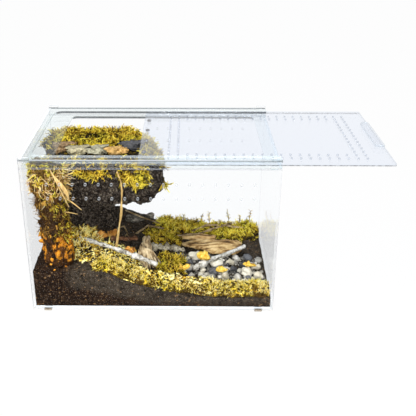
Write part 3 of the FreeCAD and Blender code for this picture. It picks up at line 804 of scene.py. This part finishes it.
# Wood: two white birch twigs, a dry stalk, slabs of tan bark, dark branches, driftwood and roots. Each
# was picked up as it is and laid on the soil, the stones and the moss.
woods = {}
for name, stretch, depth, *stops in (
    ("birch_bark", (1.0, 1.0, 1.0), 0.0005, (0.35, (0.040, 0.034, 0.026)), (0.42, (0.22, 0.20, 0.16)),
     (0.50, (0.47, 0.45, 0.40)), (0.66, (0.80, 0.78, 0.73))),
    ("tan_bark", (0.16, 1.0, 1.0), 0.0012, (0.37, (0.040, 0.019, 0.008)), (0.46, (0.27, 0.155, 0.055)),
     (0.56, (0.54, 0.38, 0.17)), (0.74, (0.72, 0.58, 0.35))),
    ("dry_stalk", (1.0, 1.0, 0.15), 0.0004, (0.34, (0.22, 0.12, 0.035)), (0.50, (0.50, 0.33, 0.12)),
     (0.66, (0.72, 0.54, 0.26))),
    ("dark_twig", (0.3, 1.0, 1.0), 0.0006, (0.36, (0.022, 0.013, 0.006)), (0.50, (0.20, 0.14, 0.066)),
     (0.66, (0.46, 0.36, 0.21))),
    ("driftwood", (0.25, 1.0, 1.0), 0.0012, (0.38, (0.008, 0.007, 0.005)), (0.51, (0.062, 0.056, 0.044)),
     (0.64, (0.34, 0.31, 0.25))),
    ("root_wood", (1.0, 0.22, 0.22), 0.0016, (0.36, (0.030, 0.016, 0.007)), (0.44, (0.25, 0.17, 0.088)),
     (0.53, (0.54, 0.42, 0.25)), (0.70, (0.74, 0.62, 0.43))),
    ("stick_wood", (0.3, 1.0, 1.0), 0.0010, (0.36, (0.020, 0.009, 0.005)), (0.52, (0.15, 0.070, 0.034)),
     (0.70, (0.36, 0.21, 0.115))),
    ("lichen_bark", (0.8, 1.0, 1.0), 0.0012, (0.36, (0.030, 0.026, 0.020)), (0.46, (0.22, 0.185, 0.12)),
     (0.56, (0.47, 0.425, 0.32)), (0.70, (0.66, 0.65, 0.58))),
):
    woods[name] = grained(name, stops, stretch, depth)
swollen, shrunk, even = 0.0004, -0.0004, (1.0, 1.0, 1.0)
knots = {"twig_left": ((0.72, 1.25),), "twig_right": ((0.20, 1.15),)}
for name, voxel, skin, slot, layers, stretch in (
    ("bark_slab_low", 0.0012, "tan_bark", "bark_slab", ((0.010, 0.0034), (0.004, 0.0018)), (4.0, 1.0, 1.0)),
    ("bark_slab_high", 0.0012, "tan_bark", "bark_slab", ((0.009, 0.0030), (0.004, 0.0016)), (4.0, 1.0, 1.0)),
    ("driftwood", 0.0013, "driftwood", "driftwood", ((0.014, 0.0050), (0.005, 0.0026)), (2.5, 1.0, 1.0)),
    ("root_stump", 0.0012, "root_wood", "root_wood", ((0.007, 0.0064), (0.003, 0.0022)), (1.0, 3.5, 3.5)),
    ("root_stick", 0.0010, "stick_wood", "root_wood", ((0.009, 0.0026), (0.003, 0.0012)), (2.0, 1.0, 1.0)),
    ("lichen_branch", 0.0011, "lichen_bark", "lichen_bark", ((0.006, 0.0046), (0.0028, 0.0024)), even),
    ("branch_long", 0.0007, "dark_twig", "dark_twig", ((0.010, 0.0010), (0.003, 0.0006)), even),
    ("branch_short", 0.0007, "dark_twig", "dark_twig", ((0.010, 0.0010), (0.003, 0.0006)), even),
    ("stalk", 0.0007, "dry_stalk", "dry_stalk", ((0.012, 0.0009), (0.004, 0.0004)), (1.0, 1.0, 2.0)),
    ("twig_left", 0.0008, "birch_bark", "birch", ((0.010, 0.0013), (0.004, 0.0006)), even),
    ("twig_right", 0.0008, "birch_bark", "birch", ((0.014, 0.0010), (0.004, 0.0005)), even),
):
    wood = fine_skin(name, voxel, smoothing=2)
    weathered(wood, layers, seed=4.0, stretch=stretch, swell=shrunk if name == "stalk" else swollen)
    for share, swell in knots.get(name, ()):
        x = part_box(name)[0][0] + share * (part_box(name)[1][0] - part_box(name)[0][0])
        near = [vert.co for vert in wood.verts if abs(vert.co.x - x) < 0.002]
        heart = sum(near, Vector()) / len(near)
        reach = max((spot - heart).length for spot in near)
        rock(wood, heart, (reach, reach * 0.8, reach * 0.8 * swell), turn=0.5, seed=x * 90.0, rough=0.3)
    piece(name + "_grown", wood, woods[skin], slot, (name,))


# Ribs of the root that rises between the twigs: weathered strands of its wood, grown together at the top,
# that fan down to the soil around it.
def stem(mesh, points, radii, sides=6):
    """A tapering round stem through a few points, closed at both ends."""
    points, hoops = [Vector(point) for point in points], []
    for i, (point, radius) in enumerate(zip(points, radii)):
        along = points[min(i + 1, len(points) - 1)] - points[max(i - 1, 0)]
        turn = along.to_track_quat("Z", "Y").to_matrix().to_4x4()
        hoops.append(bmesh.ops.create_circle(
            mesh, cap_ends=i in (0, len(points) - 1), segments=sides, radius=radius,
            matrix=Matrix.Translation(point) @ turn)["verts"])
    for pair in zip(hoops, hoops[1:]):
        rims = [edge for hoop in pair for edge in dict.fromkeys(e for v in hoop for e in v.link_edges)
                if all(v in hoop for v in edge.verts)]
        bmesh.ops.bridge_loops(mesh, edges=rims)
    return [vert for hoop in hoops for vert in hoop]


ribs, rib_rng = empty_mesh(), random.Random(67)
stump_low, stump_high = (Vector(corner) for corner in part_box("root_stump"))
stump_size = stump_high - stump_low
for i in range(11):
    fan = i / 10.0
    bow = math.sin(3.14 * fan)
    top = stump_low + Matrix.Diagonal(stump_size) @ Vector((0.30, 0.45 - 0.25 * fan, 0.97 - 0.10 * fan))
    foot = stump_low + Matrix.Diagonal(stump_size) @ Vector((-0.10 + 1.45 * fan, 0.10 - 0.35 * bow, 0.16))
    arch = Vector((0.002 * fan, -0.003 - 0.002 * rib_rng.random(), 0.005 + 0.004 * fan))
    middle = top.lerp(foot, 0.5) + arch
    shoulder = top.lerp(middle, 0.5) + Vector((0.0, -0.001, 0.002))
    stem(ribs, (top, shoulder, middle, middle.lerp(foot, 0.55), foot),
         [rib_rng.uniform(0.0012, 0.0021) * (1.0 - 0.1 * k) for k in range(5)], sides=7)
bmesh.ops.recalc_face_normals(ribs, faces=ribs.faces)
piece("root_ribs", ribs, woods["root_wood"], "root_wood")


# Fallen leaves, dry and curled: yellow ones among the stones and brown ones under the ledge. Each keeps
# the place and the lie of the flat blade in the frame.
def leaf_colour(name, edge, body, bright):
    material, shade = blank_material(name)
    place = shade.place()
    blotch = shade.noise(240.0, 4.0, 0.65, place)
    cell = shade.noise(900.0, 2.0, 0.6, place)
    shade.finish(shade.node("BsdfPrincipled", inputs={
        "Base Color": (0.7 * blotch + 0.3 * cell).ramp((0.39, edge), (0.49, body), (0.62, bright)),
        "Roughness": 0.5 + 0.25 * cell, "Specular IOR Level": 0.2, "Normal": (cell + blotch).bump(0.0004)}))
    return material


def curled_leaf(mesh, blade, rng):
    """A cupped, ragged leaf with a thickness, over the place and the lie of a flat blade's vertices."""
    spots = [vert.co.copy() for vert in blade]
    middle = sum(spots, Vector()) / len(spots)
    along = max((spot - middle for spot in spots), key=lambda way: way.length)
    across = max(((spot - middle) - (spot - middle).project(along) for spot in spots),
                 key=lambda way: way.length)
    upward = along.cross(across).normalized()
    upward = upward if upward.z > 0 else -upward
    first = len(mesh.faces)
    made = bmesh.ops.create_grid(mesh, x_segments=10, y_segments=6, size=1.0)["verts"]
    cup, bend, seed = rng.uniform(0.5, 1.8), rng.uniform(0.2, 0.6), rng.uniform(0, 50)
    for vert in made:
        u, v = vert.co.x, vert.co.y
        torn = 1.0 + 0.6 * noise.noise(Vector((u * 3.5, v, seed)))
        half = math.cos(0.5 * math.pi * u) ** 0.8 * (1.0 - 0.2 * u) * torn
        wave = cup * v * v * half + 0.7 * noise.noise(Vector((u * 2.0, v * 2.0, seed)))
        lift = across.length * wave + along.length * bend * u * u + 0.0006
        vert.co = middle + along * 1.2 * u + across * v * half * 1.6 + upward * lift
    mesh.faces.ensure_lookup_table()
    bmesh.ops.solidify(mesh, geom=mesh.faces[first:], thickness=0.0004)


leaf_rng = random.Random(71)
for name, slot, colours in (
    ("leaves_yellow", "leaf_yellow", ((0.36, 0.15, 0.015), (0.69, 0.43, 0.045), (0.86, 0.66, 0.18))),
    ("leaves_brown", "leaf_brown", ((0.14, 0.048, 0.010), (0.50, 0.21, 0.035), (0.78, 0.42, 0.10))),
):
    flat = welded(name)
    leaves = empty_mesh()
    for blade in islands(flat):
        curled_leaf(leaves, blade, leaf_rng)
    flat.free()
    bmesh.ops.remove_doubles(leaves, verts=leaves.verts, dist=1e-6)
    bmesh.ops.recalc_face_normals(leaves, faces=leaves.faces)
    piece(name + "_curled", leaves, leaf_colour(name, *colours), slot, (name,))


# Dry straws and a torn strip of husk caught on the log, thin roots under the ledge, and green shoots that
# stand up out of the back moss.
straws = empty_mesh()
for radii, *points in (
    ((0.0006, 0.0008, 0.0005), (-0.115, -0.0945, 0.189), (-0.106, -0.095, 0.166), (-0.0965, -0.094, 0.141)),
    ((0.0009, 0.0008, 0.0005), (-0.099, -0.090, 0.150), (-0.090, -0.089, 0.142), (-0.083, -0.087, 0.134)),
    ((0.0006, 0.0006, 0.0004), (-0.104, -0.086, 0.131), (-0.097, -0.087, 0.1305), (-0.088, -0.086, 0.128)),
):
    stem(straws, points, radii)
husk_strip = stem(straws, ((-0.115, -0.092, 0.184), (-0.109, -0.0935, 0.176), (-0.103, -0.0935, 0.167),
                           (-0.098, -0.092, 0.158), (-0.0965, -0.090, 0.150)),
                  (0.0008, 0.0018, 0.0027, 0.0026, 0.0008), sides=10)
husk_depth, husk_flatness = -0.0925, 0.35
for vert in husk_strip:
    vert.co.y = husk_depth + husk_flatness * (vert.co.y - husk_depth)
bmesh.ops.recalc_face_normals(straws, faces=straws.faces)
piece("straws_on_log", straws, woods["dry_stalk"], "dry_stalk")

roots = empty_mesh()
for radius, *points in (
    (0.0012, (-0.046, 0.062, 0.062), (-0.020, 0.058, 0.052), (0.004, 0.060, 0.042)),
    (0.0015, (-0.060, 0.020, 0.040), (-0.052, 0.014, 0.058), (-0.044, 0.016, 0.060), (-0.038, 0.022, 0.042)),
    (0.0012, (-0.046, 0.012, 0.038), (-0.040, 0.008, 0.052), (-0.034, 0.014, 0.040)),
    (0.0016, (-0.030, 0.030, 0.040), (-0.012, 0.034, 0.052), (0.010, 0.040, 0.044)),
):
    stem(roots, points, [radius * (1.0 - 0.12 * i) for i in range(len(points))], sides=7)
bmesh.ops.recalc_face_normals(roots, faces=roots.faces)
piece("thin_roots", roots, woods["dark_twig"], "dark_twig")

shoots, shoot_rng = empty_mesh(), random.Random(83)
moss_top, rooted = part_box("moss_back")[1][2], 0.006
for x, y, rise in (
    (0.0746, 0.074, 0.016), (0.104, 0.083, 0.014), (0.133, 0.086, 0.013), (0.038, 0.078, 0.009),
    (0.062, 0.080, 0.008), (0.090, 0.060, 0.010), (0.118, 0.078, 0.009),
):
    foot = Vector((x, y, moss_top - rooted))
    tip = foot + Vector((shoot_rng.uniform(-0.003, 0.003), shoot_rng.uniform(-0.002, 0.002), rise + rooted))
    bend = (foot + tip) / 2 + Vector((0.0006, 0.0, 0.0))
    for vert in stem(shoots, (foot, bend, tip), (0.0005, 0.0004, 0.0003), sides=5):
        vert[shoots.verts.layers.float["tone"]] = 0.5
    places = []
    for i in range(15):
        aim = Vector((shoot_rng.gauss(0, 1), shoot_rng.gauss(0, 1), 1.2))
        turn = aim.to_track_quat("Z", "Y").to_matrix().to_4x4()
        place = Matrix.Translation(foot.lerp(tip, 0.30 + 0.05 * i)) @ turn @ Matrix.Scale(0.0050, 4)
        places.append((shoot_rng.randrange(len(sprig)), place))
    sown(shoots, sprig, places)
bmesh.ops.recalc_face_normals(shoots, faces=shoots.faces)
piece("shoots", shoots, olive, "moss")
ground.free()


# Pale studio table, wide enough to fill the view. It is matt and keeps the tank's soft shadow, and the
# camera sees it almost as white as the backdrop.
def seen_directly(shade):
    """One for what the camera sees, also through acrylic or in its gloss."""
    camera, gloss = (shade.node("LightPath", output=kind) for kind in ("Is Camera Ray", "Is Glossy Ray"))
    return shade.maths("MINIMUM", camera + gloss + shade.node("LightPath", output="Is Transmission Ray"), 1.0)


table = bmesh.new()
bmesh.ops.create_grid(table, x_segments=1, y_segments=1, size=6.0)
white, shade = blank_material("studio_white")
lit = shade.node("BsdfPrincipled", inputs={
    "Base Color": (0.86, 0.86, 0.86), "Roughness": 0.9, "Specular IOR Level": 0.1})
glow = shade.node("Emission", inputs={"Color": (1.0, 1.0, 1.0), "Strength": 1.0})
shade.finish(shade.node("MixShader", inputs={0: 0.975 * seen_directly(shade), 1: lit, 2: glow}))
table_top = placed("table_top", table, white)

# Studio light: a white backdrop for what is seen, a soft pale room that lights the tank, a key box above
# and a broad one in front.
scene = bpy.context.scene
world = bpy.data.worlds.new("studio")
world.use_nodes = True
world.node_tree.nodes.clear()
shade = Shade(world.node_tree)
upward = shade.node("TexCoord", output="Generated").part("Z")
room_tone = upward.ramp((0.0, (0.9, 0.92, 0.95)), (0.45, (0.50, 0.57, 0.68)), (1.0, (0.75, 0.78, 0.82)))
room = shade.node("Background", inputs={"Color": room_tone, "Strength": 0.30})
backdrop = shade.node("Background", inputs={"Color": (1.0, 1.0, 1.0), "Strength": 1.0})
sky = shade.node("MixShader", inputs={0: seen_directly(shade), 1: room, 2: backdrop})
shade.node("OutputWorld", inputs={0: sky})
scene.world = world
for name, spot, size, power in (
    ("key_box", (-0.30, -0.45, 1.05), 0.20, 14.0),
    ("front_box", (0.10, -1.15, 0.60), 0.30, 14.5),
):
    lamp = bpy.data.lights.new(name, "AREA")
    lamp.size, lamp.energy = size, power
    holder = bpy.data.objects.new(name, lamp)
    holder.location = spot
    holder.rotation_euler = (Vector((0.0, 0.0, 0.1)) - Vector(spot)).to_track_quat("-Z", "Y").to_euler()
    scene.collection.objects.link(holder)

# Camera, in front of the tank and above its lid, almost square to the front panel. Its place, tilt and
# lens were fitted to the corners of the tank.
camera = bpy.data.cameras.new("camera")
camera.lens, camera.shift_x = 59.44, 0.0721
camera_stand = bpy.data.objects.new("camera", camera)
camera_stand.location = (0.04165, -0.82071, 0.48906)
camera_stand.rotation_euler = (1.12361, 0.00171, 0.01290)
scene.collection.objects.link(camera_stand)
scene.camera = camera_stand
scene.cycles.transparent_max_bounces = 24
scene.view_settings.view_transform = "Standard"
